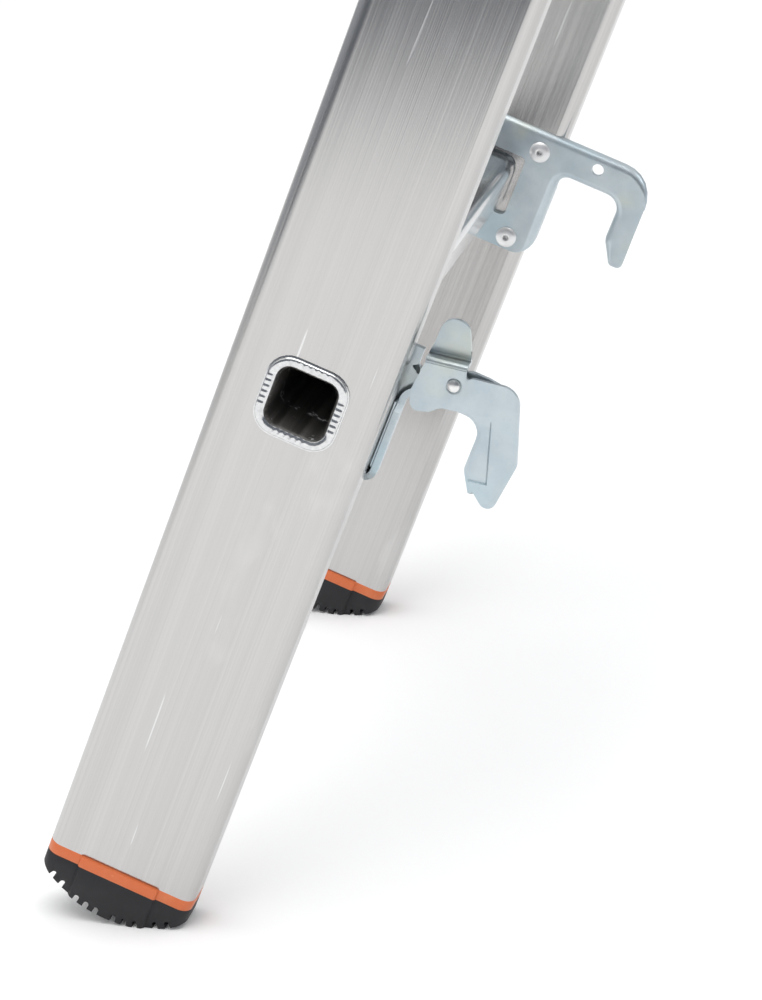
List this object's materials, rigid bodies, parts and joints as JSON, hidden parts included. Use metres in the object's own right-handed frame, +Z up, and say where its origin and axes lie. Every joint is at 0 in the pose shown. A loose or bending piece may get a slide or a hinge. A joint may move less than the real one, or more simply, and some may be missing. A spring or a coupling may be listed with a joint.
{
  "type": "extension ladder",
  "caption": "Two-section aluminium ladder that extends and opens into an A-frame, with box stiles, rung hooks, a latch lever and rocker feet.",
  "frame": {"origin": "centre of the footprint on the floor, with the ladder standing open as an A-frame", "axes": "+Z up; the fly section with the hooks stands on the -Y side and leans towards +Y; +X is on the right of a climber who faces +Y"},
  "size_m": [0.473, 1.2714, 1.695],
  "materials": {
    "aluminium": "satin extruded",
    "orange_plastic": "moulded",
    "black_rubber": "moulded",
    "black_plastic": "moulded",
    "zinc_plate": "blue zinc plated",
    "bright_steel": "zinc plated"
  },
  "bodies": {
    "base_section": {"base_stile_right": "aluminium", "base_stile_left": "aluminium", "base_rung_1": "aluminium", "base_rung_2": "aluminium", "base_rung_3": "aluminium", "base_rung_4": "aluminium", "base_rung_5": "aluminium", "base_rung_6": "aluminium", "base_foot_collar_right": "orange_plastic", "base_foot_collar_left": "orange_plastic", "base_foot_sole_right": "black_rubber", "base_foot_sole_left": "black_rubber", "base_top_cap_right": "black_plastic", "base_top_cap_left": "black_plastic", "hinge_washer_right": "black_plastic", "hinge_washer_left": "black_plastic", "hinge_bolt_right": "bright_steel", "hinge_bolt_left": "bright_steel", "hinge_nut_right": "bright_steel", "hinge_nut_left": "bright_steel", "hinge_spacer_right": "bright_steel", "hinge_spacer_left": "bright_steel", "stop_pin_right": "bright_steel", "stop_pin_left": "bright_steel"},
    "guide_brackets": {"guide_bracket_right": "zinc_plate", "guide_bracket_left": "zinc_plate", "guide_pads_right": "black_plastic", "guide_pads_left": "black_plastic"},
    "fly_section": {"fly_stile_right": "aluminium", "fly_stile_left": "aluminium", "fly_rung_1": "aluminium", "fly_rung_2": "aluminium", "fly_rung_3": "aluminium", "fly_rung_4": "aluminium", "fly_rung_5": "aluminium", "fly_rung_6": "aluminium", "fly_foot_collar_right": "orange_plastic", "fly_foot_collar_left": "orange_plastic", "fly_foot_sole_right": "black_rubber", "fly_foot_sole_left": "black_rubber", "fly_top_cap_right": "black_plastic", "fly_top_cap_left": "black_plastic", "hook_plate_right": "zinc_plate", "hook_plate_left": "zinc_plate", "hook_rivets": "bright_steel", "latch_pin": "bright_steel"},
    "latch": {"latch_lever": "zinc_plate"}
  },
  "joints": [
    {"name": "a_frame_hinge", "type": "hinge", "parent": "base_section", "child": "guide_brackets", "pos_m": [0, 0.02984, 1.57031], "axis": [1, 0, 0], "range_deg": [0, 40.4]},
    {"name": "extension_slide", "type": "slide", "parent": "guide_brackets", "child": "fly_section", "axis": [0, 0.3453, 0.9385], "range_m": [-0.035, 1.085]},
    {"name": "latch_pivot", "type": "hinge", "parent": "fly_section", "child": "latch", "pos_m": [0.175, -0.44792, 0.26776], "axis": [1, 0, 0], "range_deg": [0, 12]}
  ]
}
